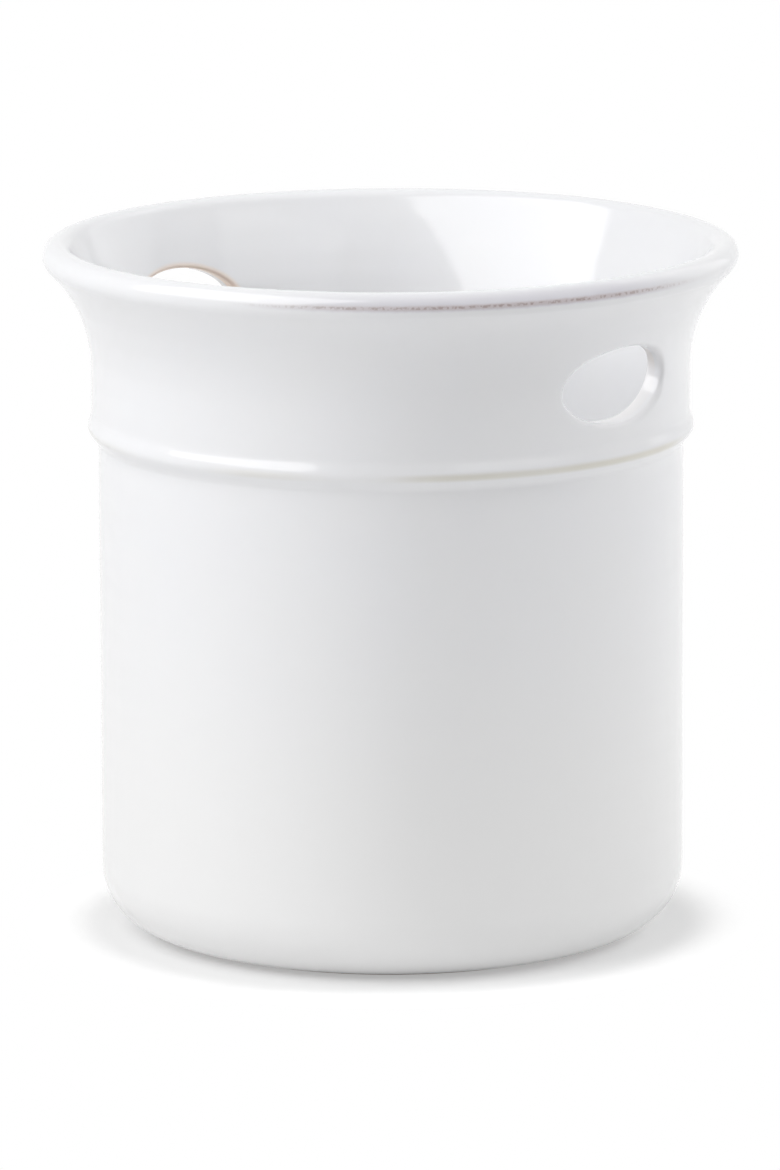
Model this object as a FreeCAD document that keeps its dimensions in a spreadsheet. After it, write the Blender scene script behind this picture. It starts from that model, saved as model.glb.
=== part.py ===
import FreeCAD, Part
import math
import os

import Sketcher

# A glazed stoneware utensil crock: a round body on a foot ring, a wider collar with a flared rim and two
# oval finger openings, and a rolled bead where the collar starts. The origin is the centre of the foot on
# the table, +Z is up, and the finger openings face +X and -X. All sizes are in millimetres.

# Driving sizes of the bare clay, and the glaze over it
SIZES = {
    "clay_height": 178.6,  # table to the top of the bare lip
    "body_radius": 74.7,  # outside of the straight wall
    "wall_thickness": 4.4,
    "heel_radius": 15.6,  # outside curve from the wall to the foot
    "inner_heel_radius": 10.0,  # inside curve from the wall to the floor
    "floor_thickness": 5.5,
    "floor_lap": 3.1,  # width of the wall's toe that stands on the floor slab
    "foot_height": 1.0,  # foot ring below the heel
    "foot_width": 6.0,
    "foot_recess": 1.5,  # hollow inside the foot ring
    "collar_step": 1.8,  # collar beyond the wall
    "collar_lap": 5.0,  # height over which the wall's tongue stands inside the collar
    "bead_drop": 47.3,  # lip top down to the fullest height of the bead
    "bead_step": 0.9,  # bead beyond the collar
    "bead_underside": 4.7,  # height of the curve below the bead's fullest height
    "bead_shoulder": 4.2,  # height of the curve above it
    "bead_seat": 1.5,  # depth of the bead's seat in the wall
    "rim_overhang": 12.1,  # rim beyond the collar
    "lip_radius": 3.4,
    "flare_height": 28.7,  # from the start of the flare to the middle of the lip
    "handle_drop": 28.9,  # lip top down to the middle of the right finger opening, outside the collar
    "left_handle_lift": 3.6,  # left opening above the right one, as cut by hand
    "handle_rise": 4.0,  # how far an opening's own axis climbs from the collar to the crock's axis
    "handle_width": 39.2,
    "handle_height": 20.4,  # square to the opening's own axis
    "handle_outer_edge": 1.2,  # rounding of an opening's edge outside the collar
    "handle_inner_edge": 0.6,  # rounding of an opening's edge inside the collar
    "glaze_thickness": 0.4,
}

# Places that follow from the driving sizes, each worked out once
PLACES = {
    "foot_radius": "sizes.body_radius - sizes.heel_radius",
    "foot_bore": "foot_radius - sizes.foot_width",
    "heel_top": "sizes.foot_height + sizes.heel_radius",
    "floor_top": "sizes.foot_height + sizes.floor_thickness",
    "rebate_top": "sizes.foot_height + sizes.floor_thickness / 2",
    "rebate_radius": "foot_radius - sizes.floor_lap",
    "inner_radius": "sizes.body_radius - sizes.wall_thickness",
    "inner_heel_top": "floor_top + sizes.inner_heel_radius",
    "inner_heel_end": "inner_radius - sizes.inner_heel_radius",
    "bead_middle": "sizes.clay_height - sizes.bead_drop",
    "bead_bottom": "bead_middle - sizes.bead_underside",
    "bead_top": "bead_middle + sizes.bead_shoulder",
    "seat_radius": "sizes.body_radius - sizes.bead_seat",
    "tongue_radius": "(inner_radius + seat_radius) / 2",
    "tongue_foot": "bead_middle - sizes.collar_lap / 2",
    "tongue_top": "bead_middle + sizes.collar_lap / 2",
    "collar_radius": "sizes.body_radius + sizes.collar_step",
    "bead_radius": "collar_radius + sizes.bead_step",
    "underside_turn_radius": "(sizes.body_radius + bead_radius) / 2",
    "underside_turn_height": "(bead_bottom + bead_middle) / 2",
    "shoulder_turn_radius": "(collar_radius + bead_radius) / 2",
    "shoulder_turn_height": "(bead_top + bead_middle) / 2",
    "lip_middle_radius": "collar_radius + sizes.rim_overhang - sizes.lip_radius",
    "lip_middle_height": "sizes.clay_height - sizes.lip_radius",
    "flare_start": "lip_middle_height - sizes.flare_height",
    "handle_middle": "sizes.clay_height - sizes.handle_drop",
    "handle_slope": "atan(sizes.handle_rise / collar_radius)",
    "right_handle_line": "collar_radius * sin(handle_slope) + handle_middle * cos(handle_slope)",
    "left_handle_line": "right_handle_line + sizes.left_handle_lift * cos(handle_slope)",
    # The glazed surfaces
    "glazed_heel_bottom": "sizes.foot_height - sizes.glaze_thickness",
    "glazed_body_radius": "sizes.body_radius + sizes.glaze_thickness",
    "glazed_underside_turn": "underside_turn_radius + sizes.glaze_thickness",
    "glazed_bead_radius": "bead_radius + sizes.glaze_thickness",
    "glazed_shoulder_turn": "shoulder_turn_radius + sizes.glaze_thickness",
    "glazed_collar_radius": "collar_radius + sizes.glaze_thickness",
    "glazed_lip_radius": "sizes.lip_radius + sizes.glaze_thickness",
    "glazed_rim_radius": "lip_middle_radius + glazed_lip_radius",
    "glazed_inner_radius": "inner_radius - sizes.glaze_thickness",
    "glazed_floor_top": "floor_top + sizes.glaze_thickness",
    "glazed_handle_width": "sizes.handle_width - 2 * sizes.glaze_thickness",
    "glazed_handle_height": "sizes.handle_height - 2 * sizes.glaze_thickness",
    "glazed_outer_edge": "sizes.handle_outer_edge + sizes.glaze_thickness",
    "glazed_inner_edge": "sizes.handle_inner_edge + sizes.glaze_thickness",
    # Inside the clay of the collar and the wall, where the two coats meet in the finger openings
    "core_radius": "collar_radius - sizes.wall_thickness / 2",
    "core_floor": "(sizes.foot_recess + floor_top) / 2",
}

FULL_TURN = 360.0  # degrees
ON_OVAL_SHARE = 0.02  # how near the oval, as a share of its size, an opening's edge has to lie

doc = FreeCAD.newDocument("utensil_crock")


def fill_sheet(name, cells):
    """Make a sheet with one named cell in each row."""
    sheet = doc.addObject("Spreadsheet::Sheet", name)
    for row, (alias, content) in enumerate(cells, start=1):
        sheet.set(f"A{row}", alias)
        sheet.set(f"B{row}", content)
        sheet.setAlias(f"B{row}", alias)
    doc.recompute()
    return sheet


sizes = fill_sheet("sizes", [(alias, str(value)) for alias, value in SIZES.items()])
places = fill_sheet("places", [(alias, "=" + formula) for alias, formula in PLACES.items()])


def cell(alias):
    """The expression that reads a named cell."""
    return f"sizes.{alias}" if alias in SIZES else f"places.{alias}"


def value(alias):
    """The present number in a named cell: millimetres, or degrees for a slope."""
    sheet = sizes if alias in SIZES else places
    return float(getattr(sheet, alias))


def bind(sketch, constraint, alias):
    """Tie a sketch's constraint to a named cell."""
    sketch.setExpression(f"Constraints[{constraint}]", cell(alias))


def new_sketch(body, name, plane_role):
    """A sketch on one of the body's own origin planes."""
    sketch = body.newObject("Sketcher::SketchObject", name)
    plane = next(p for p in body.Origin.OriginFeatures if p.Role == plane_role)
    sketch.AttachmentSupport = [(plane, "")]
    sketch.MapMode = "FlatFace"
    return sketch


class Line:
    """A straight edge to a corner, given as the cells of its radius and height; None is zero."""

    def __init__(self, radius, height):
        self.end = (radius, height)


class Arc:
    """A round edge to a corner. Its centre lies level with the cell named, turn is +1 for anticlockwise."""

    def __init__(self, radius, height, level, turn):
        self.end = (radius, height)
        self.level = level
        self.turn = turn


class LipArc(Arc):
    """A round edge about the middle of the lip."""

    def __init__(self, radius, height, size, turn):
        super().__init__(radius, height, "lip_middle_height", turn)
        self.size = size


# Where a flare runs into the lip: the sketch itself finds this point, by tangency
OUTER_TANGENT = ("outer_tangent", "outer_tangent")
INNER_TANGENT = ("inner_tangent", "inner_tangent")


def first_guess(corner, lip_size):
    """The corner's coordinates, near enough for a tangent point and exact for any other."""
    diagonal = lip_size * math.sqrt(0.5)
    if corner == OUTER_TANGENT:
        return value("lip_middle_radius") + diagonal, value("lip_middle_height") - diagonal
    if corner == INNER_TANGENT:
        return value("lip_middle_radius") - diagonal, value("lip_middle_height") + diagonal
    return tuple(value(alias) if alias else 0.0 for alias in corner)


def arc_geometry(start, end, centre, turn):
    """The arc from start to end about a centre. The sketch stores every arc anticlockwise."""
    first, last = (start, end) if turn > 0 else (end, start)
    circle = Part.Circle(
        FreeCAD.Vector(*centre), FreeCAD.Vector(0, 0, 1), math.dist(start, centre)
    )
    angles = [math.atan2(p[1] - centre[1], p[0] - centre[0]) for p in (first, last)]
    return Part.ArcOfCircle(circle, *angles)


def level_centre(start, end, height):
    """The centre at a given height of the circle through two points."""
    start_square = start[0] ** 2 + (start[1] - height) ** 2
    end_square = end[0] ** 2 + (end[1] - height) ** 2
    return (end_square - start_square) / (2 * (end[0] - start[0])), height


def half_section(body, name, edges):
    """Draw a closed half-section in the body's XZ plane, with the radius across and the height up."""
    sketch = new_sketch(body, name, "XZ_Plane")
    lip_sizes = [value(edge.size) for edge in edges if isinstance(edge, LipArc)]
    lip_size = lip_sizes[0] if lip_sizes else 0.0
    points = [first_guess(edge.end, lip_size) for edge in edges]
    ends = []
    for index, edge in enumerate(edges):
        start, end = points[index - 1], points[index]
        if isinstance(edge, Line):
            sketch.addGeometry(Part.LineSegment(FreeCAD.Vector(*start), FreeCAD.Vector(*end)))
            ends.append((1, 2))
            continue
        if isinstance(edge, LipArc):
            centre = (value("lip_middle_radius"), value("lip_middle_height"))
        else:
            centre = level_centre(start, end, value(edge.level))
        sketch.addGeometry(arc_geometry(start, end, centre, edge.turn))
        ends.append((1, 2) if edge.turn > 0 else (2, 1))

    # Neighbouring edges share a corner, and at a tangent point they run into each other smoothly
    for index, edge in enumerate(edges):
        following = (index + 1) % len(edges)
        smooth = edge.end in (OUTER_TANGENT, INNER_TANGENT)
        kind = "Tangent" if smooth else "Coincident"
        sketch.addConstraint(
            Sketcher.Constraint(kind, index, ends[index][1], following, ends[following][0])
        )
        if not smooth:
            place_point(sketch, index, ends[index][1], edge.end)
    for index, edge in enumerate(edges):
        if isinstance(edge, LipArc):
            fix_lip_arc(sketch, index, edge, edges[index - 1].end)
        elif isinstance(edge, Arc):
            place_point(sketch, index, 3, (False, edge.level))
    return sketch


def place_point(sketch, index, point, corner):
    """Tie a point's radius and height to their cells; None is zero, False leaves that one free."""
    for kind, alias in zip(("DistanceX", "DistanceY"), corner):
        if alias is False:
            continue
        now = value(alias) if alias else 0.0
        constraint = sketch.addConstraint(Sketcher.Constraint(kind, -1, 1, index, point, now))
        if alias:
            bind(sketch, constraint, alias)


def fix_lip_arc(sketch, index, edge, start):
    """Tie the lip's arc to the middle of the lip, as far as its own two ends leave it free."""
    tangent_points = (OUTER_TANGENT, INNER_TANGENT)
    free_ends = [corner for corner in (start, edge.end) if corner in tangent_points]
    place_point(sketch, index, 3, ("lip_middle_radius", "lip_middle_height" if len(free_ends) > 1 else False))
    radius = sketch.addConstraint(Sketcher.Constraint("Radius", index, value(edge.size)))
    bind(sketch, radius, edge.size)


def revolved_body(name, edges):
    """A body turned about the Z axis from its half-section."""
    body = doc.addObject("PartDesign::Body", name)
    sketch = half_section(body, name + "_section", edges)
    turned = body.newObject("PartDesign::Revolution", name + "_turned")
    turned.Profile = sketch
    turned.ReferenceAxis = (sketch, ["V_Axis"])
    turned.Angle = FULL_TURN
    doc.recompute()
    return body


def handle_line(side):
    """The cell that holds how far out an opening's axis runs, on its leaning plane: side is +1 for the right."""
    return "right_handle_line" if side > 0 else "left_handle_line"


def oval_sketch(body, name, side, width, height):
    """An opening's oval, on a plane through the origin that leans out to one side by the opening's slope."""
    sketch = new_sketch(body, name, "YZ_Plane")
    lean = FreeCAD.Rotation(FreeCAD.Vector(side, 0, 0), value("handle_slope"))
    sketch.AttachmentOffset = FreeCAD.Placement(FreeCAD.Vector(0, 0, 0), lean)
    sketch.setExpression("AttachmentOffset.Rotation.Angle", cell("handle_slope"))
    middle = FreeCAD.Vector(0, value(handle_line(side)), 0)
    across = middle + FreeCAD.Vector(value(width) / 2, 0, 0)
    up = middle + FreeCAD.Vector(0, value(height) / 2, 0)
    oval = sketch.addGeometry(Part.Ellipse(across, up, middle))
    sketch.exposeInternalGeometry(oval)
    place_point(sketch, oval, 3, (None, handle_line(side)))
    long_axis, short_axis = oval + 1, oval + 2
    sketch.addConstraint(Sketcher.Constraint("Horizontal", long_axis))
    for axis, alias in ((long_axis, width), (short_axis, height)):
        length = sketch.addConstraint(
            Sketcher.Constraint("Distance", axis, 1, axis, 2, value(alias))
        )
        bind(sketch, length, alias)
    doc.recompute()
    return sketch


def cut_openings(body, width, height):
    """Cut the two oval finger openings, one out to +X and one out to -X, and return the last cut."""
    for side, side_name in ((+1, "right"), (-1, "left")):
        uncut_volume = body.Shape.Volume
        name = f"{body.Name}_{side_name}"
        pocket = body.newObject("PartDesign::Pocket", name + "_opening")
        pocket.Profile = oval_sketch(body, name + "_oval", side, width, height)
        pocket.Type = "ThroughAll"
        pocket.Reversed = side > 0
        doc.recompute()
        if not body.Shape.Volume < uncut_volume:
            raise RuntimeError(f"the {side_name} opening cuts nothing from {body.Name}")
    return pocket


def opening_edges(shape, width, height, outside):
    """The names of the edges round both openings, on the outside or on the inside of the wall."""
    names = []
    slope = math.radians(value("handle_slope"))
    for number, edge in enumerate(shape.Edges, start=1):
        if edge.Curve.TypeId == "Part::GeomLine":
            continue
        points = edge.discretize(5)
        ovals = []
        for p in points:
            up = abs(p.x) * math.sin(slope) + p.z * math.cos(slope) - value(handle_line(p.x))
            ovals.append(math.hypot(2 * p.y / value(width), 2 * up / value(height)))
        on_oval = all(abs(share - 1.0) < ON_OVAL_SHARE for share in ovals)
        beyond_core = [math.hypot(p.x, p.y) - value("core_radius") for p in points]
        clear = value("glaze_thickness")
        on_side = min(beyond_core) > clear if outside else max(beyond_core) < -clear
        if on_oval and on_side:
            names.append(f"Edge{number}")
    return names


def round_edges(body, name, base, edge_names, radius):
    """Round the named edges of a feature."""
    fillet = body.newObject("PartDesign::Fillet", name)
    fillet.Base = (base, edge_names)
    fillet.setExpression("Radius", cell(radius))
    doc.recompute()
    return fillet


def floor_slab():
    """The floor, with a foot ring below and a rebate round its edge that the wall stands in."""
    return revolved_body(
        "floor_slab",
        [
            Line(None, "foot_recess"),
            Line("foot_bore", "foot_recess"),
            Line("foot_bore", None),
            Line("foot_radius", None),
            Line("foot_radius", "rebate_top"),
            Line("rebate_radius", "rebate_top"),
            Line("rebate_radius", "floor_top"),
            Line(None, "floor_top"),
        ],
    )


def body_wall():
    """The straight wall: a heel and a toe below, a seat for the bead and a tongue for the collar above."""
    return revolved_body(
        "body_wall",
        [
            Line("foot_radius", "foot_height"),
            Arc("body_radius", "heel_top", "heel_top", +1),
            Line("body_radius", "bead_bottom"),
            Line("seat_radius", "bead_bottom"),
            Line("seat_radius", "tongue_foot"),
            Line("tongue_radius", "tongue_foot"),
            Line("tongue_radius", "tongue_top"),
            Line("inner_radius", "tongue_top"),
            Line("inner_radius", "inner_heel_top"),
            Arc("inner_heel_end", "floor_top", "inner_heel_top", -1),
            Line("rebate_radius", "floor_top"),
            Line("rebate_radius", "rebate_top"),
            Line("foot_radius", "rebate_top"),
        ],
    )


def collar_bead():
    """The rolled ring over the seam: a soft double curve below its fullest height, and one above."""
    return revolved_body(
        "collar_bead",
        [
            Line("body_radius", "bead_bottom"),
            Arc("underside_turn_radius", "underside_turn_height", "bead_bottom", -1),
            Arc("bead_radius", "bead_middle", "bead_middle", +1),
            Arc("shoulder_turn_radius", "shoulder_turn_height", "bead_middle", +1),
            Arc("collar_radius", "bead_top", "bead_top", -1),
            Line("seat_radius", "bead_top"),
            Line("seat_radius", "bead_bottom"),
        ],
    )


def flared_collar():
    """The collar over the wall's tongue, with its flare, lip and finger openings."""
    body = revolved_body(
        "flared_collar",
        [
            Line("tongue_radius", "tongue_foot"),
            Line("seat_radius", "tongue_foot"),
            Line("seat_radius", "bead_top"),
            Line("collar_radius", "bead_top"),
            Line("collar_radius", "flare_start"),
            Arc(*OUTER_TANGENT, "flare_start", -1),
            LipArc(*INNER_TANGENT, "lip_radius", +1),
            Arc("inner_radius", "tongue_top", "tongue_top", +1),
            Line("tongue_radius", "tongue_top"),
        ],
    )
    oval = ("handle_width", "handle_height")
    pocket = cut_openings(body, *oval)
    outside = opening_edges(pocket.Shape, *oval, outside=True)
    rounded = round_edges(body, "collar_outer_edges", pocket, outside, "handle_outer_edge")
    inside = opening_edges(rounded.Shape, *oval, outside=False)
    round_edges(body, "collar_inner_edges", rounded, inside, "handle_inner_edge")
    return body


def outer_blank():
    """The outside coat before the clay is taken from it: the glazed outline, closed inside the clay."""
    body = revolved_body(
        "outer_blank",
        [
            Line("foot_radius", "glazed_heel_bottom"),
            Arc("glazed_body_radius", "heel_top", "heel_top", +1),
            Line("glazed_body_radius", "bead_bottom"),
            Arc("glazed_underside_turn", "underside_turn_height", "bead_bottom", -1),
            Arc("glazed_bead_radius", "bead_middle", "bead_middle", +1),
            Arc("glazed_shoulder_turn", "shoulder_turn_height", "bead_middle", +1),
            Arc("glazed_collar_radius", "bead_top", "bead_top", -1),
            Line("glazed_collar_radius", "flare_start"),
            Arc(*OUTER_TANGENT, "flare_start", -1),
            LipArc("glazed_rim_radius", "lip_middle_height", "glazed_lip_radius", +1),
            Line("lip_middle_radius", "lip_middle_height"),
            Arc("core_radius", "flare_start", "flare_start", +1),
            Line("core_radius", "heel_top"),
            Arc("foot_radius", "core_floor", "heel_top", -1),
        ],
    )
    oval = ("glazed_handle_width", "glazed_handle_height")
    pocket = cut_openings(body, *oval)
    edges = opening_edges(pocket.Shape, *oval, outside=True)
    round_edges(body, "outer_blank_edges", pocket, edges, "glazed_outer_edge")
    return body


def liner_blank():
    """The inside coat before the clay is taken from it."""
    body = revolved_body(
        "liner_blank",
        [
            Line(None, "core_floor"),
            Line("foot_radius", "core_floor"),
            Arc("core_radius", "heel_top", "heel_top", +1),
            Line("core_radius", "flare_start"),
            Arc("lip_middle_radius", "lip_middle_height", "flare_start", -1),
            Line("glazed_rim_radius", "lip_middle_height"),
            LipArc(*INNER_TANGENT, "glazed_lip_radius", +1),
            Arc("glazed_inner_radius", "tongue_top", "tongue_top", +1),
            Line("glazed_inner_radius", "inner_heel_top"),
            Arc("inner_heel_end", "glazed_floor_top", "inner_heel_top", -1),
            Line(None, "glazed_floor_top"),
        ],
    )
    oval = ("glazed_handle_width", "glazed_handle_height")
    pocket = cut_openings(body, *oval)
    edges = opening_edges(pocket.Shape, *oval, outside=False)
    round_edges(body, "liner_blank_edges", pocket, edges, "glazed_inner_edge")
    return body


def coat(name, blank, clay):
    """A glaze coat: its blank less the clay that it covers."""
    skin = doc.addObject("Part::Cut", name)
    skin.Base = blank
    skin.Tool = clay
    return skin


clay_pieces = [floor_slab(), body_wall(), collar_bead(), flared_collar()]
clay = doc.addObject("Part::MultiFuse", "clay")
clay.Shapes = clay_pieces
coats = [coat("outer_glaze", outer_blank(), clay), coat("liner_glaze", liner_blank(), clay)]
doc.recompute()

pieces = clay_pieces + coats
failed = [o.Name for o in doc.Objects if "Invalid" in o.State or "Error" in o.State]
if failed:
    raise RuntimeError(f"these objects failed to build: {failed}")
for piece in pieces:
    if piece.Shape.isNull() or not piece.Shape.isValid() or len(piece.Shape.Solids) != 1:
        raise RuntimeError(f"{piece.Label} is not one valid solid")

os.makedirs("parts", exist_ok=True)
for piece in pieces:
    piece.Shape.exportStep(f"parts/{piece.Label}.step")
    print(piece.Label, round(piece.Shape.Volume), "cubic mm")
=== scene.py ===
import math

import bpy
from mathutils import Euler, Matrix, Vector, noise


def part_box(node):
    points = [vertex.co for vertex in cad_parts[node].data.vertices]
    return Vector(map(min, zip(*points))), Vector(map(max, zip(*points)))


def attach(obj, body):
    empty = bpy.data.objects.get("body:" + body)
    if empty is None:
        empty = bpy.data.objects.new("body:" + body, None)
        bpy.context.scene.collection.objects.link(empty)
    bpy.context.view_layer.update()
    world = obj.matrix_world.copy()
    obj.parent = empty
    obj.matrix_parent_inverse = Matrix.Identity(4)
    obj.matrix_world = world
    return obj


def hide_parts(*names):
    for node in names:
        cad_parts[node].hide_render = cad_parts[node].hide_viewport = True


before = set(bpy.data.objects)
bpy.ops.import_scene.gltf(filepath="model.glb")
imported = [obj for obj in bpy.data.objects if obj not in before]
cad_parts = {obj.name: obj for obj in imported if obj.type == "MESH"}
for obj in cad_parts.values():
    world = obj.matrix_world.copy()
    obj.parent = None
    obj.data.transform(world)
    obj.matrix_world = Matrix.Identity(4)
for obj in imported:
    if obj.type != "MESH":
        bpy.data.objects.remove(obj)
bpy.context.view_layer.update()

# The looks of a stoneware utensil crock: two coats of white glaze over bare clay.
# The crock's sizes are in millimetres over the glaze, with heights from its foot. MM makes them metres.
MM = 0.001
GLAZE_THICKNESS = 0.4
QUARTER_TURN = math.pi / 2.0
FULL_TURN = 2.0 * math.pi

# What the frame says
outer_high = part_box("outer_glaze")[1]
liner_low, liner_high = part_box("liner_glaze")
bead_low, bead_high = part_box("collar_bead")
wall_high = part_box("body_wall")[1]
RIM_RADIUS = outer_high[0] / MM
LIP_HEIGHT = outer_high[2] / MM
CROCK_HEIGHT = liner_high[2] / MM
LIP_RADIUS = CROCK_HEIGHT - LIP_HEIGHT
FLOOR_TOP = liner_low[2] / MM + GLAZE_THICKNESS
BODY_RADIUS = wall_high[0] / MM + GLAZE_THICKNESS
BEAD_RADIUS = bead_high[0] / MM + GLAZE_THICKNESS
BEAD_BOTTOM = bead_low[2] / MM
BEAD_TOP = bead_high[2] / MM

# The other sizes of the form
FOOT_RADIUS = 59.1
FOOT_EDGE = 0.6
WALL_INSIDE_RADIUS = 69.9
INNER_HEEL_RADIUS = 9.6
NECK_RADIUS = 76.9
BEAD_SHOULDER = 4.2
BEAD_LINE_DROP = 0.5
FLARE_HEIGHT = 28.7
# A finger opening is square to its own axis, which climbs from the collar towards the crock's axis
OPENING_RADIUS = 76.5
RIGHT_OPENING_HEIGHT = 149.7
LEFT_OPENING_HEIGHT = 153.3
OPENING_RISE = 4.0
OPENING_HALF_WIDTH = 19.2
OPENING_HALF_HEIGHT = 9.8
OPENING_OUTER_EDGE = 1.6
OPENING_INNER_EDGE = 1.0
COATS_MEET_RADIUS = 74.3

OPENING_SLOPE = math.atan2(OPENING_RISE, OPENING_RADIUS)
BEAD_PEAK = BEAD_TOP - BEAD_SHOULDER
BEAD_LINE_HEIGHT = BEAD_PEAK - BEAD_LINE_DROP
HEEL_RADIUS = BODY_RADIUS - FOOT_RADIUS
HEEL_TOP = FOOT_EDGE + HEEL_RADIUS
FLARE_START = LIP_HEIGHT - FLARE_HEIGHT
INNER_FLARE_START = wall_high[2] / MM
LIP_MIDDLE_RADIUS = RIM_RADIUS - LIP_RADIUS

# How finely the coats are divided: columns round the crock, and steps along each stretch of a profile
COLUMNS = 288
HEEL_STEPS = 22
WALL_STEPS = 60
BEAD_STEPS = 14
SHOULDER_STEPS = 10
FLARE_STEPS = 14
LIP_UNDERSIDE_STEPS = 12
LIP_TOP_STEPS = 34
INNER_NECK_STEPS = 4
INNER_WALL_STEPS = 64
INNER_HEEL_STEPS = 12
FLOOR_STEPS = 40
# The patch of a coat that holds an opening, and the rings of points from its border into the opening
PATCH_HALF_COLUMNS = 16
PATCH_MARGIN = 1.4
PATCH_ROWS = 28
PATCH_RINGS = 4
EDGE_RINGS = 6
SLEEVE_RINGS = 3
# Rounds of the search for the point where a line meets a coat
MEETING_ROUNDS = 6
# Which way an opening's edge sinks from a coat's face, towards the crock's axis or away from it
INWARD = 1.0
OUTWARD = -1.0
# The distance given to points far from an edge, and the bend from which an edge stays sharp
FAR_FROM_EDGE = 60.0
SHARP_ANGLE = math.radians(50.0)

# Hand-made unevenness: slow swells, and faint rings from turning
SWELL_DEPTH = 0.16
SWELL_LENGTH = 55.0
SWELL_SEED = Vector((3.1, 7.4, 1.7))
LIFT_SEED = Vector((12.3, 4.8, 8.8))
RING_DEPTH = 0.035
RING_PITCH = 6.5
RING_CONTRAST = 0.5
RING_FINENESS = 1.7
RING_SEED = Vector((9.2, 0.4, 5.5))
# It grows from nothing at the foot and on the axis to its whole depth at this height and this radius,
# and points nearer than AXIS_RADIUS to the axis stay where they are
UNEVEN_HEIGHT = 14.0
UNEVEN_RADIUS = 30.0
AXIS_RADIUS = 1.0

# Where the glaze runs off its edges, more here and less there, and on the lip round one side of it
RUN_LENGTH = 45.0
RUN_CONTRAST = 0.9
RUN_SEED = Vector((48.8, 36.2, 17.1))
LIP_RUN_BOTTOM = LIP_HEIGHT - 2.0 * LIP_RADIUS
LIP_RUN_MIDDLE = math.radians(-31.0)
LIP_RUN_REACH = math.radians(46.0)
LIP_RUN_FADE = math.radians(28.0)
LIP_RUN_BASE = 0.7
LIP_RUN_SPREAD = 0.4


def smooth(share):
    """An even S-curve from 0 to 1."""
    share = min(max(share, 0.0), 1.0)
    return share * share * (3.0 - 2.0 * share)


# Profile of the crock, as points (radius, height)
def line(start, end, count):
    """Points along a straight stretch, without its first one."""
    shares = [(i + 1) / count for i in range(count)]
    return [(start[0] + (end[0] - start[0]) * s, start[1] + (end[1] - start[1]) * s) for s in shares]


def arc(centre, radius, start, end, count):
    """Points along an arc between two angles in radians, without its first one."""
    angles = [start + (end - start) * (i + 1) / count for i in range(count)]
    return [(centre[0] + radius * math.cos(a), centre[1] + radius * math.sin(a)) for a in angles]


def ogee(start, end, count):
    """Points along an S-curve that is upright at both ends, without its first one."""
    across = end[0] - start[0]
    rise = end[1] - start[1]
    shares = [(i + 1) / count for i in range(count)]
    return [(start[0] + across * smooth(s), start[1] + rise * s) for s in shares]


class Flare:
    """A surface that stands straight up to a height, then bends out along an arc towards the lip's round.

    Its arc touches a circle about the lip's middle from outside where side is that circle's radius,
    from inside where it is minus that radius, and runs through the middle itself where it is zero.
    """

    def __init__(self, start_radius, start_height, side):
        across = LIP_MIDDLE_RADIUS - start_radius
        rise = LIP_HEIGHT - start_height
        self.start_height = start_height
        self.bend = (across ** 2 + rise ** 2 - side ** 2) / (2.0 * (across + side))
        self.centre = (start_radius + self.bend, start_height)
        self.touch = math.atan2(rise, across - self.bend)

    def radius_at(self, height):
        """Radius of the surface at a height."""
        rise = max(height - self.start_height, 0.0)
        return self.centre[0] - math.sqrt(self.bend ** 2 - rise ** 2)

    def angle_at(self, height):
        """Angle of the arc's point at a height, seen from the arc's centre."""
        return math.atan2(height - self.start_height, self.radius_at(height) - self.centre[0])


OUTSIDE = Flare(NECK_RADIUS, FLARE_START, LIP_RADIUS)
INSIDE = Flare(WALL_INSIDE_RADIUS, INNER_FLARE_START, -LIP_RADIUS)
MEETING = Flare(COATS_MEET_RADIUS, FLARE_START, 0.0)


class Opening:
    """A finger opening on the right (side 1) or the left (side -1), with its height at the collar."""

    def __init__(self, side, height):
        self.side = side
        self.height = height

    def height_at(self, depth, up):
        """Height of a point that lies up from the opening's axis, at a depth out from the crock's axis."""
        climb = (OPENING_RADIUS - depth) * math.tan(OPENING_SLOPE)
        return self.height + up / math.cos(OPENING_SLOPE) + climb

    def meet(self, across, up, surface):
        """Depth and height where a line along the opening, off its axis by (across, up), meets a surface."""
        height = self.height
        for _ in range(MEETING_ROUNDS):
            depth = math.sqrt(surface.radius_at(height) ** 2 - across ** 2)
            height = self.height_at(depth, up)
        return depth, height


OPENINGS = (Opening(1.0, RIGHT_OPENING_HEIGHT), Opening(-1.0, LEFT_OPENING_HEIGHT))


def patch_heights(surface, edge):
    """Bottom and top of a coat's patches round the openings, whose edges are rounded by this much."""
    reach = (OPENING_HALF_HEIGHT + edge) / math.cos(OPENING_SLOPE) + PATCH_MARGIN
    lowest = min(opening.meet(0.0, 0.0, surface)[1] for opening in OPENINGS)
    highest = max(opening.meet(0.0, 0.0, surface)[1] for opening in OPENINGS)
    return lowest - reach, highest + reach


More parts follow.
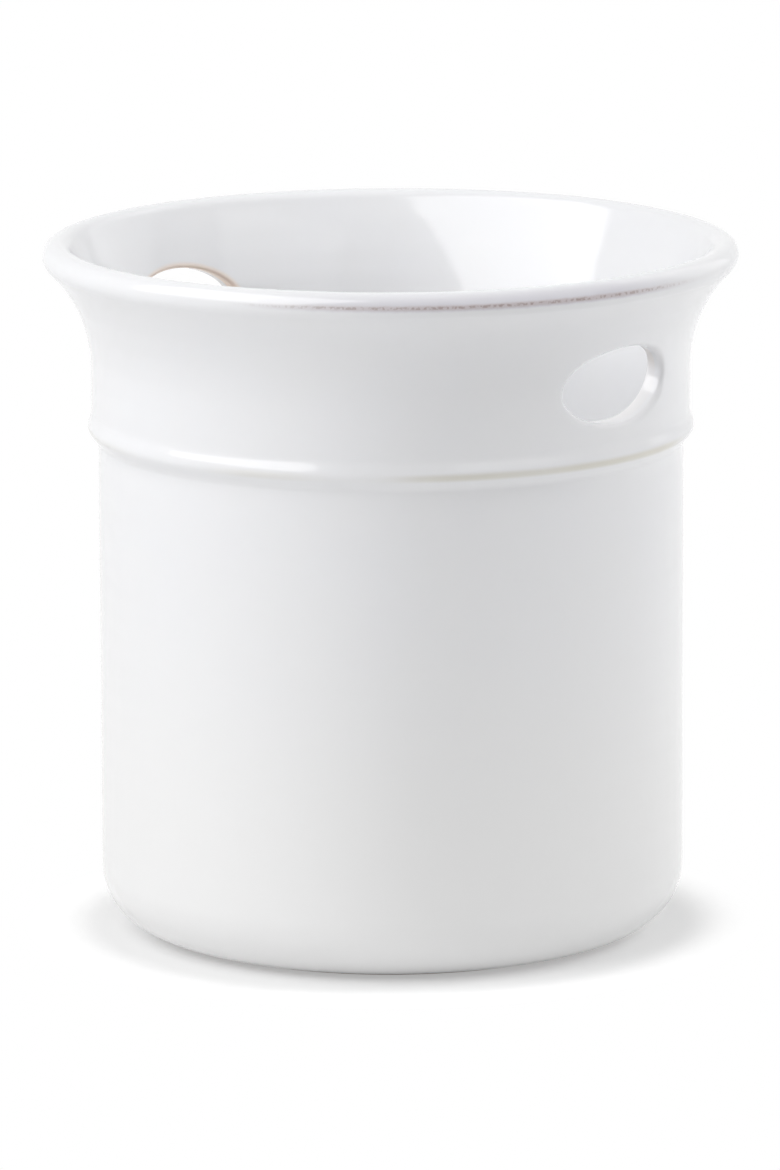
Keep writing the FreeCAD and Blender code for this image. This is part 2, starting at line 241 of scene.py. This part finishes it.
def outer_profile():
    """The outer coat from the foot to the lip, and the rows between which its openings lie."""
    heel = (FOOT_RADIUS, HEEL_TOP)
    lip = (LIP_MIDDLE_RADIUS, LIP_HEIGHT)
    points = [(FOOT_RADIUS, FOOT_EDGE)]
    points += arc(heel, HEEL_RADIUS, -QUARTER_TURN, 0.0, HEEL_STEPS)
    points += line(points[-1], (BODY_RADIUS, BEAD_BOTTOM), WALL_STEPS)
    points += ogee(points[-1], (BEAD_RADIUS, BEAD_PEAK), BEAD_STEPS)
    points += ogee(points[-1], (NECK_RADIUS, BEAD_TOP), SHOULDER_STEPS)
    low, high = patch_heights(OUTSIDE, OPENING_OUTER_EDGE)
    first = len(points)
    heights = [low + (high - low) * i / PATCH_ROWS for i in range(PATCH_ROWS + 1)]
    points += [(OUTSIDE.radius_at(h), h) for h in heights]
    last = len(points) - 1
    points += arc(OUTSIDE.centre, OUTSIDE.bend, OUTSIDE.angle_at(high), OUTSIDE.touch, FLARE_STEPS)
    points += arc(lip, LIP_RADIUS, OUTSIDE.touch - math.pi, 0.0, LIP_UNDERSIDE_STEPS)
    return points, first, last


def liner_profile():
    """The inside coat from the lip to the floor's middle, and the rows between which its openings lie."""
    heel = (WALL_INSIDE_RADIUS - INNER_HEEL_RADIUS, FLOOR_TOP + INNER_HEEL_RADIUS)
    lip = (LIP_MIDDLE_RADIUS, LIP_HEIGHT)
    low, high = patch_heights(INSIDE, OPENING_INNER_EDGE)
    points = [(RIM_RADIUS, LIP_HEIGHT)]
    points += arc(lip, LIP_RADIUS, 0.0, INSIDE.touch, LIP_TOP_STEPS)
    points += arc(INSIDE.centre, INSIDE.bend, INSIDE.touch, INSIDE.angle_at(high), FLARE_STEPS)
    first = len(points) - 1
    heights = [high - (high - low) * (i + 1) / PATCH_ROWS for i in range(PATCH_ROWS)]
    points += [(INSIDE.radius_at(h), h) for h in heights]
    last = len(points) - 1
    points += arc(INSIDE.centre, INSIDE.bend, INSIDE.angle_at(low), math.pi, INNER_NECK_STEPS)
    points += line(points[-1], (WALL_INSIDE_RADIUS, heel[1]), INNER_WALL_STEPS)
    points += arc(heel, INNER_HEEL_RADIUS, 0.0, -QUARTER_TURN, INNER_HEEL_STEPS)
    points += line(points[-1], (0.0, FLOOR_TOP), FLOOR_STEPS)
    return points, first, last


def noise_share(spot, contrast):
    """Noise about a half, with more or less contrast."""
    return 0.5 + contrast * noise.noise(spot)


def uneven(point):
    """Moves a point by the unevenness of hand-made ware: none at the foot and on the axis."""
    x, y, z = point
    radius = math.hypot(x, y)
    if radius < AXIS_RADIUS:
        return point
    strength = smooth(z / UNEVEN_HEIGHT) * smooth(radius / UNEVEN_RADIUS)
    spot = Vector((x, y, z)) / SWELL_LENGTH
    swell = SWELL_DEPTH * noise.noise(spot + SWELL_SEED)
    turn = math.atan2(y, x) / FULL_TURN
    ring_share = noise_share(spot * RING_FINENESS + RING_SEED, RING_CONTRAST)
    ring = RING_DEPTH * ring_share * math.sin(FULL_TURN * (z / RING_PITCH + turn))
    push = strength * (swell + ring)
    lift = strength * SWELL_DEPTH * noise.noise(spot + LIFT_SEED)
    return (x + push * x / radius, y + push * y / radius, z + lift)


def run_off(point):
    """How strongly the glaze runs off an edge at this point, from 0 to 1."""
    x, y, z = point
    chance = noise_share(Vector(point) / RUN_LENGTH + RUN_SEED, RUN_CONTRAST)
    if z > LIP_RUN_BOTTOM:
        turn = abs(math.remainder(math.atan2(y, x) - LIP_RUN_MIDDLE, FULL_TURN))
        near = smooth((LIP_RUN_REACH - turn) / LIP_RUN_FADE)
        chance = near * (LIP_RUN_BASE + LIP_RUN_SPREAD * chance)
    return min(max(chance, 0.0), 1.0)


class Coat:
    """The points and faces of a glaze coat, with each point's distance from the lip and from an opening."""

    def __init__(self):
        self.points = []
        self.from_lip = []
        self.from_opening = []
        self.faces = []

    def add(self, point, from_lip, from_opening=FAR_FROM_EDGE):
        """Adds a point and gives its number."""
        self.points.append(point)
        self.from_lip.append(from_lip)
        self.from_opening.append(from_opening)
        return len(self.points) - 1

    def strip(self, lower, upper):
        """Faces between two closed rows of points."""
        for i in range(len(lower)):
            j = (i + 1) % len(lower)
            self.faces.append((lower[i], lower[j], upper[j], upper[i]))

    def piece(self, name, material):
        """The coat as an object, closed by its own thickness on the side of the clay."""
        mesh = bpy.data.meshes.new(name)
        mesh.from_pydata([Vector(uneven(p)) * MM for p in self.points], [], self.faces)
        runs = [run_off(p) for p in self.points]
        fields = {"from_lip": self.from_lip, "from_opening": self.from_opening, "run_off": runs}
        for title, values in fields.items():
            attribute = mesh.attributes.new(title, "FLOAT", "POINT")
            attribute.data.foreach_set("value", values)
        mesh.shade_smooth()
        mesh.materials.append(material)
        piece = bpy.data.objects.new(name, mesh)
        bpy.context.scene.collection.objects.link(piece)
        solidify = piece.modifiers.new("thickness", "SOLIDIFY")
        solidify.thickness = GLAZE_THICKNESS * MM
        solidify.offset = -1.0
        solidify.use_even_offset = True
        thick = bpy.data.meshes.new_from_object(piece.evaluated_get(bpy.context.evaluated_depsgraph_get()))
        thick.set_sharp_from_angle(angle=SHARP_ANGLE)
        piece.modifiers.clear()
        piece.data = thick
        bpy.data.meshes.remove(mesh)
        return piece


def oval(angle, grow):
    """Point (across, up) on an opening's outline, grown square to it."""
    across = OPENING_HALF_WIDTH * math.cos(angle)
    up = OPENING_HALF_HEIGHT * math.sin(angle)
    square = Vector((OPENING_HALF_HEIGHT * math.cos(angle), OPENING_HALF_WIDTH * math.sin(angle)))
    square.normalize()
    return across + grow * square.x, up + grow * square.y


def add_opening(coat, grid, rows, first, last, opening, surface, edge, way):
    """Fills the patch round an opening: rings from its border to the rounded edge, then half a sleeve."""
    middle = 0 if opening.side > 0.0 else COLUMNS // 2
    left = middle - PATCH_HALF_COLUMNS
    right = middle + PATCH_HALF_COLUMNS
    border = [(first, c) for c in range(left, right)]
    border += [(r, right) for r in range(first, last)]
    border += [(last, c) for c in range(right, left, -1)]
    border += [(r, left) for r in range(last, first, -1)]
    turn = FULL_TURN / COLUMNS

    def add_point(depth, across, height, from_opening):
        """A point of the coat, placed from the opening's side of the crock."""
        place = (opening.side * depth, opening.side * across, height)
        return coat.add(place, FAR_FROM_EDGE, from_opening)

    def add_sunk_point(across, up, sink, from_opening):
        """A point of the coat, sunk along the opening's axis."""
        depth, height = opening.meet(across, up, surface)
        depth -= way * sink * math.cos(OPENING_SLOPE)
        height += way * sink * math.sin(OPENING_SLOPE)
        return add_point(depth, across, height, from_opening)

    starts = []
    for row, column in border:
        radius, height = rows[row]
        across = radius * math.sin((column - middle) * turn)
        depth = radius * math.cos((column - middle) * turn)
        up = (height - opening.height_at(depth, 0.0)) * math.cos(OPENING_SLOPE)
        angle = math.atan2(up / OPENING_HALF_HEIGHT, across / OPENING_HALF_WIDTH)
        starts.append((across, up, angle))
    previous = [grid[row][column % COLUMNS] for row, column in border]
    for ring in range(1, PATCH_RINGS + 1):
        share = ring / PATCH_RINGS
        current = []
        for across, up, angle in starts:
            end_across, end_up = oval(angle, edge)
            here = (across + (end_across - across) * share, up + (end_up - up) * share)
            gap = math.hypot(here[0] - end_across, here[1] - end_up)
            current.append(add_sunk_point(here[0], here[1], 0.0, edge + gap))
        coat.strip(previous, current)
        previous = current
    for ring in range(1, EDGE_RINGS + 1):
        bend = QUARTER_TURN * ring / EDGE_RINGS
        grow = edge * (1.0 - math.sin(bend))
        sink = edge * (1.0 - math.cos(bend))
        current = [add_sunk_point(*oval(angle, grow), sink, grow) for _, _, angle in starts]
        coat.strip(previous, current)
        previous = current
    for ring in range(1, SLEEVE_RINGS + 1):
        share = ring / SLEEVE_RINGS
        current = []
        for _, _, angle in starts:
            across, up = oval(angle, 0.0)
            begin = opening.meet(across, up, surface)[0] - way * edge * math.cos(OPENING_SLOPE)
            end = opening.meet(across, up, MEETING)[0]
            depth = begin + (end - begin) * share
            current.append(add_point(depth, across, opening.height_at(depth, up), 0.0))
        coat.strip(previous, current)
        previous = current


def columns_from_opening(column):
    """How many columns away the middle of the nearer opening is."""
    half = COLUMNS / 2
    return min(column % half, half - column % half)


def revolve(coat, rows, first, last):
    """Turns a profile into rings of points and faces, leaving the patches of the two openings out."""
    grid = []
    lengths = [0.0]
    for before, after in zip(rows, rows[1:]):
        lengths.append(lengths[-1] + math.dist(before, after))
    lip_first = rows[0][1] > rows[-1][1]
    for row, ((radius, height), length) in enumerate(zip(rows, lengths)):
        from_lip = length if lip_first else lengths[-1] - length
        if radius == 0.0:
            grid.append([coat.add((0.0, 0.0, height), from_lip)] * COLUMNS)
            continue
        ring = []
        for column in range(COLUMNS):
            if first < row < last and columns_from_opening(column) < PATCH_HALF_COLUMNS:
                ring.append(None)
                continue
            angle = FULL_TURN * column / COLUMNS
            ring.append(coat.add((radius * math.cos(angle), radius * math.sin(angle), height), from_lip))
        grid.append(ring)
    for row in range(len(rows) - 1):
        lower, upper = grid[row], grid[row + 1]
        for column in range(COLUMNS):
            if first <= row < last and columns_from_opening(column + 0.5) < PATCH_HALF_COLUMNS:
                continue
            beside = (column + 1) % COLUMNS
            face = (lower[column], lower[beside], upper[beside], upper[column])
            coat.faces.append(face[:3] if upper[beside] == upper[column] else face)
    return grid


def make_coat(name, profile, surface, edge, way, node_name, material):
    """One glaze coat with its two openings."""
    rows, first, last = profile
    coat = Coat()
    grid = revolve(coat, rows, first, last)
    for opening in OPENINGS:
        add_opening(coat, grid, rows, first, last, opening, surface, edge, way)
    piece = coat.piece(name, material)
    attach(piece, "root")
    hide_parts(node_name)


# Materials

# Colours of the glaze: where it is thick, and thinner and thinner over the clay
WARM_WHITE = (0.88, 0.88, 0.88, 1.0)
COOL_WHITE = (0.864, 0.868, 0.888, 1.0)
BEAD_LINE = (0.68, 0.65, 0.55, 1.0)
OPENING_GLOW = (0.92, 0.75, 0.62, 1.0)
# The violet grey below is partly thin glaze over the clay and partly painted shade of the lip's outer face
LIP_THIN_AND_SHADE = (0.62, 0.60, 0.67, 1.0)
LIP_LINE = (0.54, 0.44, 0.42, 1.0)
BARE_BROWN = (0.30, 0.21, 0.19, 1.0)
# Colours of the bare clay
CLAY_DARK = (0.36, 0.255, 0.17, 1.0)
CLAY_PALE = (0.50, 0.38, 0.27, 1.0)
CLAY_SPECK = (0.16, 0.10, 0.07, 1.0)

# Clouds of noise: waves per metre, octaves, and how much of each octave's strength the next one has
MOTTLE = (45.0, 4.0, 0.6)
RAGGED = (420.0, 4.0, 0.65)
DOTS = (900.0, 2.0, 0.5)
RIPPLE = (150.0, 3.0, 0.5)
CLAY_PATCHES = (60.0, 3.0, 0.5)
CLAY_SPECKS = (900.0, 2.0, 0.5)
CLAY_GRAIN = (1600.0, 4.0, 0.7)
# The values that most of a cloud lies between
CLOUD_LOW = 0.2
CLOUD_HIGH = 0.8
# The values of their clouds over which dots and specks appear, and how strong the dots are
DOTS_FROM = 0.44
DOTS_TO = 0.60
DOTS_STRENGTH = 0.7
SPECKS_FROM = 0.62
SPECKS_TO = 0.70

# The white is cooler higher up, a little unevenly
COOL_FROM_HEIGHT = 30.0
COOL_TO_HEIGHT = 120.0
COOL_MOTTLE_LOW = 0.3
COOL_MOTTLE_HIGH = 0.7
COOL_LEAST_SHARE = 0.7

# Lines where the glaze is thin, and on the lip a band that is partly painted shade: each is at its full
# strength in its core and gone past its reach
LINE_WAVER = 0.6
LIP_LINE_INSET = 0.4
LIP_THIN_AND_SHADE_CORE = 0.5
LIP_THIN_AND_SHADE_STRENGTH = 0.62
LIP_LINE_CORE = 0.2
LIP_LINE_REACH = 1.0
LIP_LINE_STRENGTH = 0.5
LIP_DOTS_CORE = 0.1
LIP_DOTS_REACH = 0.5
BEAD_LINE_CORE = 0.2
BEAD_LINE_REACH = 1.5
OPENING_GLOW_CORE = 0.1
OPENING_GLOW_REACH = 2.2
FOOT_LINE_CORE = 0.7
FOOT_LINE_REACH = 1.6
# The run-off over which the bead's line appears
BEAD_RUN_FROM = 0.2
BEAD_RUN_TO = 0.75
# The glow's share on the openings' lower edges and on the right opening
LOWER_EDGE_SHARE = 0.3
RIGHT_OPENING_SHARE = 0.2
# It changes from the left side to the right one within this distance of the middle
SIDE_STEP = 20.0

# Gloss, with the roughness that bare places add, and depths of relief
GLAZE_IOR = 1.55
GLAZE_ROUGHNESS_SPREAD = 0.05
BARE_ROUGHNESS = 0.35
CLAY_SMOOTHEST = 0.78
CLAY_ROUGHEST = 0.92
RIPPLE_DEPTH = 0.02
GRAIN_DEPTH = 0.12

# Numbers of the colour sockets of a Mix node
MIX_SHARE = 0
MIX_FIRST = 6
MIX_SECOND = 7
MIX_RESULT = 2


def add_node(tree, kind, inputs=None, **settings):
    """A shader node with its settings, and its inputs set to values or linked."""
    made = tree.nodes.new(kind)
    for name, value in settings.items():
        setattr(made, name, value)
    for key, value in (inputs or {}).items():
        if isinstance(value, bpy.types.NodeSocket):
            tree.links.new(value, made.inputs[key])
        else:
            made.inputs[key].default_value = value
    return made


def math_node(tree, operation, first, second=0.0):
    """The result of an operation on one or two values."""
    return add_node(tree, "ShaderNodeMath", {0: first, 1: second}, operation=operation).outputs[0]


def times(tree, first, second):
    """The product of two values."""
    return math_node(tree, "MULTIPLY", first, second)


def read_attribute(tree, name):
    """A value that the coat's points carry."""
    return add_node(tree, "ShaderNodeAttribute", attribute_name=name).outputs["Fac"]


def cloud(tree, place, settings):
    """Noise from 0 to 1 over an object's own coordinates, with the settings of one of the clouds above."""
    scale, detail, roughness = settings
    inputs = {"Vector": place, "Scale": scale, "Detail": detail, "Roughness": roughness}
    return add_node(tree, "ShaderNodeTexNoise", inputs).outputs["Fac"]


def ramp(tree, value, start, end, low=0.0, high=1.0):
    """A smooth step of a value between two limits."""
    inputs = {"Value": value, "From Min": start, "From Max": end, "To Min": low, "To Max": high}
    return add_node(tree, "ShaderNodeMapRange", inputs, interpolation_type="SMOOTHSTEP").outputs["Result"]


def fade(tree, distance, core, reach, strength=1.0):
    """Strength of a line at a distance from its middle: all of it in its core, none past its reach."""
    return ramp(tree, distance, core, reach, strength, 0.0)


def blend_colours(tree, share, first, second):
    """The first colour with a share of the second over it."""
    inputs = {MIX_SHARE: share, MIX_FIRST: first, MIX_SECOND: second}
    return add_node(tree, "ShaderNodeMix", inputs, data_type="RGBA").outputs[MIX_RESULT]


def new_material(name):
    """An empty material and its node tree."""
    material = bpy.data.materials.new(name)
    material.use_nodes = True
    material.node_tree.nodes.clear()
    return material, material.node_tree


def add_surface(tree, colour, roughness, relief, depth, **others):
    """The shader of a material, with a relief as its bump, of a depth in millimetres."""
    bump = add_node(tree, "ShaderNodeBump", {"Height": relief, "Strength": 1.0, "Distance": depth * MM})
    inputs = {"Base Color": colour, "Roughness": roughness, "Normal": bump.outputs[0], **others}
    shader = add_node(tree, "ShaderNodeBsdfPrincipled", inputs)
    add_node(tree, "ShaderNodeOutputMaterial", {"Surface": shader.outputs[0]})


def glaze_material(name, smoothest, lip_line_at, thin_and_shade_reach, bead_strength, opening_strength):
    """Glossy white glaze, thin and brown where it runs off the lip, the bead, an opening or the foot, with a
    band round the lip's line that is partly painted shade.

    The lip's line lies at lip_line_at from the coat's edge, which is below zero on the other coat.
    """
    material, tree = new_material(name)
    place = add_node(tree, "ShaderNodeTexCoord").outputs["Object"]
    axes = add_node(tree, "ShaderNodeSeparateXYZ", {0: place}).outputs
    height = axes["Z"]
    from_lip = read_attribute(tree, "from_lip")
    from_opening = read_attribute(tree, "from_opening")
    run = read_attribute(tree, "run_off")
    mottle = cloud(tree, place, MOTTLE)
    ragged = cloud(tree, place, RAGGED)
    waver = times(tree, math_node(tree, "SUBTRACT", ragged, 0.5), LINE_WAVER)

    high_up = ramp(tree, height, COOL_FROM_HEIGHT * MM, COOL_TO_HEIGHT * MM)
    patchy = ramp(tree, mottle, COOL_MOTTLE_LOW, COOL_MOTTLE_HIGH, COOL_LEAST_SHARE, 1.0)
    white = blend_colours(tree, times(tree, high_up, patchy), WARM_WHITE, COOL_WHITE)

    from_line = math_node(tree, "ADD", math_node(tree, "SUBTRACT", from_lip, lip_line_at), waver)
    from_line = math_node(tree, "ABSOLUTE", from_line)
    # The band round the lip's line is partly thin glaze and partly painted shade of the lip's outer face and
    # of the flare under it
    lip_thin_and_shade = times(tree, run, fade(tree, from_line, LIP_THIN_AND_SHADE_CORE, thin_and_shade_reach, LIP_THIN_AND_SHADE_STRENGTH))
    lip_line = times(tree, run, fade(tree, from_line, LIP_LINE_CORE, LIP_LINE_REACH, LIP_LINE_STRENGTH))
    lip_dots = times(tree, run, fade(tree, from_line, LIP_DOTS_CORE, LIP_DOTS_REACH))
    dots = ramp(tree, cloud(tree, place, DOTS), DOTS_FROM, DOTS_TO, 0.0, DOTS_STRENGTH)
    lip_dots = times(tree, lip_dots, dots)

    from_bead = math_node(tree, "SUBTRACT", height, BEAD_LINE_HEIGHT * MM)
    from_bead = math_node(tree, "ABSOLUTE", from_bead)
    bead_glow = fade(tree, from_bead, BEAD_LINE_CORE * MM, BEAD_LINE_REACH * MM, bead_strength)
    bead_glow = times(tree, bead_glow, ramp(tree, run, BEAD_RUN_FROM, BEAD_RUN_TO))

    opening_glow = fade(tree, from_opening, OPENING_GLOW_CORE, OPENING_GLOW_REACH, opening_strength)
    lower = RIGHT_OPENING_HEIGHT * MM
    upper = LEFT_OPENING_HEIGHT * MM
    opening_glow = times(tree, opening_glow, ramp(tree, height, lower, upper, LOWER_EDGE_SHARE, 1.0))
    left_side = ramp(tree, axes["X"], -SIDE_STEP * MM, SIDE_STEP * MM, 1.0, RIGHT_OPENING_SHARE)
    opening_glow = times(tree, opening_glow, left_side)

    from_foot = math_node(tree, "ADD", height, times(tree, waver, MM))
    foot_line = fade(tree, from_foot, FOOT_LINE_CORE * MM, FOOT_LINE_REACH * MM)

    brown = math_node(tree, "MAXIMUM", lip_dots, foot_line)
    colour = blend_colours(tree, bead_glow, white, BEAD_LINE)
    colour = blend_colours(tree, opening_glow, colour, OPENING_GLOW)
    colour = blend_colours(tree, lip_thin_and_shade, colour, LIP_THIN_AND_SHADE)
    colour = blend_colours(tree, lip_line, colour, LIP_LINE)
    colour = blend_colours(tree, brown, colour, BARE_BROWN)

    roughness = ramp(tree, mottle, CLOUD_LOW, CLOUD_HIGH, smoothest, smoothest + GLAZE_ROUGHNESS_SPREAD)
    roughness = math_node(tree, "ADD", roughness, times(tree, brown, BARE_ROUGHNESS))
    add_surface(tree, colour, roughness, cloud(tree, place, RIPPLE), RIPPLE_DEPTH, IOR=GLAZE_IOR)
    return material


def clay_material():
    """Bare fired stoneware: matt brown, grainy, with darker specks."""
    material, tree = new_material("bare_stoneware")
    place = add_node(tree, "ShaderNodeTexCoord").outputs["Object"]
    patches = cloud(tree, place, CLAY_PATCHES)
    specks = ramp(tree, cloud(tree, place, CLAY_SPECKS), SPECKS_FROM, SPECKS_TO)
    colour = blend_colours(tree, patches, CLAY_DARK, CLAY_PALE)
    colour = blend_colours(tree, specks, colour, CLAY_SPECK)
    roughness = ramp(tree, patches, CLOUD_LOW, CLOUD_HIGH, CLAY_SMOOTHEST, CLAY_ROUGHEST)
    add_surface(tree, colour, roughness, cloud(tree, place, CLAY_GRAIN), GRAIN_DEPTH)
    return material


# Stage: floor, world, lamps and camera, with places and sizes in metres
WHITE = (1.0, 1.0, 1.0, 1.0)
FLOOR_HALF = 4.0
FLOOR_COLOUR = (0.92, 0.92, 0.92, 1.0)
# To the rays that see the background, the floor is darker but lifted near the crock, and white further out:
# the lift is painted light on the real shadow, and the darker disc that fades to white is a faint painted
# shadow
FLOOR_NEAR_COLOUR = (0.50, 0.50, 0.50, 1.0)
FLOOR_LIFT = 0.40
FLOOR_WHITE_FROM = 0.074
FLOOR_WHITE_TO = 0.096
# Each soft box: name, turn in degrees, then height, distance, width and length in metres, power in watts,
# and whether the glaze mirrors it
SOFT_BOXES = (
    ("left_panel", -62.0, 1.45, 1.5, 2.4, 2.1, 45.0, True),
    ("right_panel", 50.0, 1.2, 1.7, 1.7, 1.0, 4.0, True),
    ("back_panel", 130.0, 1.0, 1.7, 1.2, 1.6, 3.5, True),
    ("side_panel", 95.0, 0.95, 1.7, 0.6, 1.9, 17.5, False),
    ("top_box", 0.0, 1.60, 0.02, 0.9, 0.9, 3.8, False),
)
# The photograph's view, with lens and sensor in millimetres
CAMERA_AZIMUTH = math.radians(41.3)
CAMERA_DISTANCE = 2.200
CAMERA_HEIGHT = 0.5275
CAMERA_PITCH = math.radians(-11.28)
CAMERA_ROLL = math.radians(-0.2)
CAMERA_LENS = 268.0
CAMERA_SENSOR = 36.0
CAMERA_SHIFT = -0.0013
CAMERA_CLIP_END = 50.0


def background_rays(tree):
    """1 for the rays that see the background: the camera's own, and those off gloss and through glass."""
    rays = add_node(tree, "ShaderNodeLightPath").outputs
    seen = math_node(tree, "MAXIMUM", rays["Is Camera Ray"], rays["Is Glossy Ray"])
    return math_node(tree, "MAXIMUM", seen, rays["Is Transmission Ray"])


def make_floor():
    """A pale floor that keeps the crock's shadow, lightened by a painted lift, with a faint painted shadow
    near the crock and plain white further out.
    """
    mesh = bpy.data.meshes.new("floor")
    half = FLOOR_HALF
    corners = [(-half, -half, 0.0), (half, -half, 0.0), (half, half, 0.0), (-half, half, 0.0)]
    mesh.from_pydata(corners, [], [(0, 1, 2, 3)])
    floor = bpy.data.objects.new("floor", mesh)
    bpy.context.scene.collection.objects.link(floor)
    material, tree = new_material("pale_floor")
    place = add_node(tree, "ShaderNodeTexCoord").outputs["Object"]
    away = add_node(tree, "ShaderNodeVectorMath", {0: place}, operation="LENGTH").outputs["Value"]
    # The darker colour near the crock, fading to white with the distance, is a faint painted shadow, and the
    # lift is painted light
    far = ramp(tree, away, FLOOR_WHITE_FROM, FLOOR_WHITE_TO)
    seen = background_rays(tree)
    seen_near = times(tree, seen, math_node(tree, "SUBTRACT", 1.0, far))
    colour = blend_colours(tree, seen_near, FLOOR_COLOUR, FLOOR_NEAR_COLOUR)
    diffuse = add_node(tree, "ShaderNodeBsdfDiffuse", {"Color": colour})
    lift = add_node(tree, "ShaderNodeEmission", {"Strength": times(tree, seen, FLOOR_LIFT)})
    near = add_node(tree, "ShaderNodeAddShader", {0: diffuse.outputs[0], 1: lift.outputs[0]})
    white = add_node(tree, "ShaderNodeEmission", {"Strength": 1.0})
    seen_far = times(tree, seen, far)
    surface = add_node(tree, "ShaderNodeMixShader", {0: seen_far, 1: near.outputs[0], 2: white.outputs[0]})
    add_node(tree, "ShaderNodeOutputMaterial", {"Surface": surface.outputs[0]})
    mesh.materials.append(material)


def make_world():
    """A white room to look at, which gives only what the gloss mirrors of it."""
    world = bpy.data.worlds.new("studio")
    bpy.context.scene.world = world
    world.use_nodes = True
    tree = world.node_tree
    tree.nodes.clear()
    inputs = {"Color": WHITE, "Strength": background_rays(tree)}
    background = add_node(tree, "ShaderNodeBackground", inputs)
    add_node(tree, "ShaderNodeOutputWorld", {"Surface": background.outputs[0]})


def make_lamp(name, turn, height, distance, width, length, power, mirrored):
    """A soft box that faces the crock, turned from the camera's side towards the picture's right."""
    lamp = bpy.data.lights.new(name, "AREA")
    lamp.shape = "RECTANGLE"
    lamp.size = width
    lamp.size_y = length
    lamp.energy = power
    box = bpy.data.objects.new(name, lamp)
    angle = CAMERA_AZIMUTH + math.radians(turn)
    box.location = (distance * math.sin(angle), -distance * math.cos(angle), height)
    aim = Vector((0.0, 0.0, 0.5 * CROCK_HEIGHT * MM)) - box.location
    box.rotation_euler = aim.to_track_quat("-Z", "Y").to_euler()
    box.visible_camera = False
    box.visible_glossy = mirrored
    bpy.context.scene.collection.objects.link(box)


def make_camera():
    """The photograph's view."""
    lens = bpy.data.cameras.new("camera")
    lens.lens = CAMERA_LENS
    lens.sensor_width = CAMERA_SENSOR
    lens.shift_x = CAMERA_SHIFT
    lens.clip_end = CAMERA_CLIP_END
    camera = bpy.data.objects.new("camera", lens)
    across = CAMERA_DISTANCE * math.sin(CAMERA_AZIMUTH)
    back = -CAMERA_DISTANCE * math.cos(CAMERA_AZIMUTH)
    camera.location = (across, back, CAMERA_HEIGHT)
    level = Euler((QUARTER_TURN + CAMERA_PITCH, 0.0, CAMERA_AZIMUTH)).to_matrix()
    camera.rotation_euler = (level @ Matrix.Rotation(CAMERA_ROLL, 3, "Z")).to_euler()
    bpy.context.scene.collection.objects.link(camera)
    bpy.context.scene.camera = camera


outer_look = glaze_material(
    "outer_glaze",
    smoothest=0.07,
    lip_line_at=-LIP_LINE_INSET,
    thin_and_shade_reach=1.4,
    bead_strength=0.7,
    opening_strength=0.1,
)
liner_look = glaze_material(
    "liner_glaze",
    smoothest=0.09,
    lip_line_at=LIP_LINE_INSET,
    thin_and_shade_reach=6.0,
    bead_strength=0.0,
    opening_strength=0.9,
)
clay = clay_material()
make_coat("outer_coat", outer_profile(), OUTSIDE, OPENING_OUTER_EDGE, INWARD, "outer_glaze", outer_look)
make_coat("liner_coat", liner_profile(), INSIDE, OPENING_INNER_EDGE, OUTWARD, "liner_glaze", liner_look)
for clay_node in ("floor_slab", "body_wall", "collar_bead", "flared_collar"):
    for material_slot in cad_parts[clay_node].material_slots:
        material_slot.material = clay

make_floor()
make_world()
for soft_box in SOFT_BOXES:
    make_lamp(*soft_box)
make_camera()
bpy.context.scene.view_settings.view_transform = "Standard"
